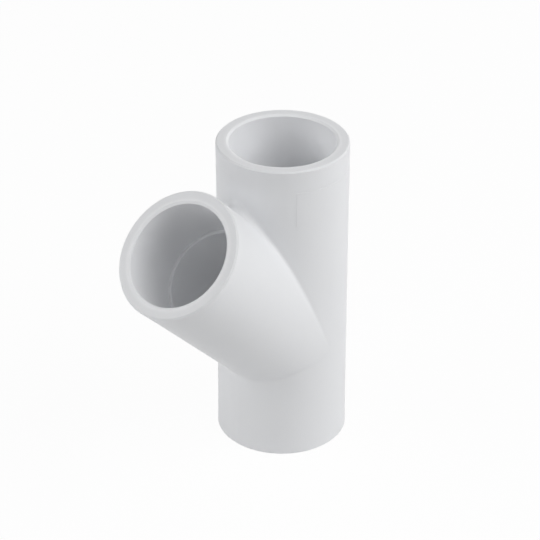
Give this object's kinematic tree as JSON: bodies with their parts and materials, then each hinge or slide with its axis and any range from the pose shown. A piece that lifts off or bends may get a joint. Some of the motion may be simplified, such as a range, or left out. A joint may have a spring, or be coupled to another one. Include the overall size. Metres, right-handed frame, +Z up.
{
  "type": "pipe wye fitting",
  "caption": "Plain white lateral wye for plastic pipe: a straight run with a socket at each end and a side branch leaving it at a slant.",
  "frame": {"origin": "centre of the run's lower mouth, in the plane of its rim", "axes": "+Z up along the run from its lower mouth to its upper one; the branch leaves in the XZ plane, halfway between +X and +Z"},
  "size_m": [0.0657, 0.0332, 0.0824],
  "materials": {
    "white_plastic": "smooth satin as moulded"
  },
  "bodies": {
    "root": {"wye_body": "white_plastic"}
  },
  "joints": []
}
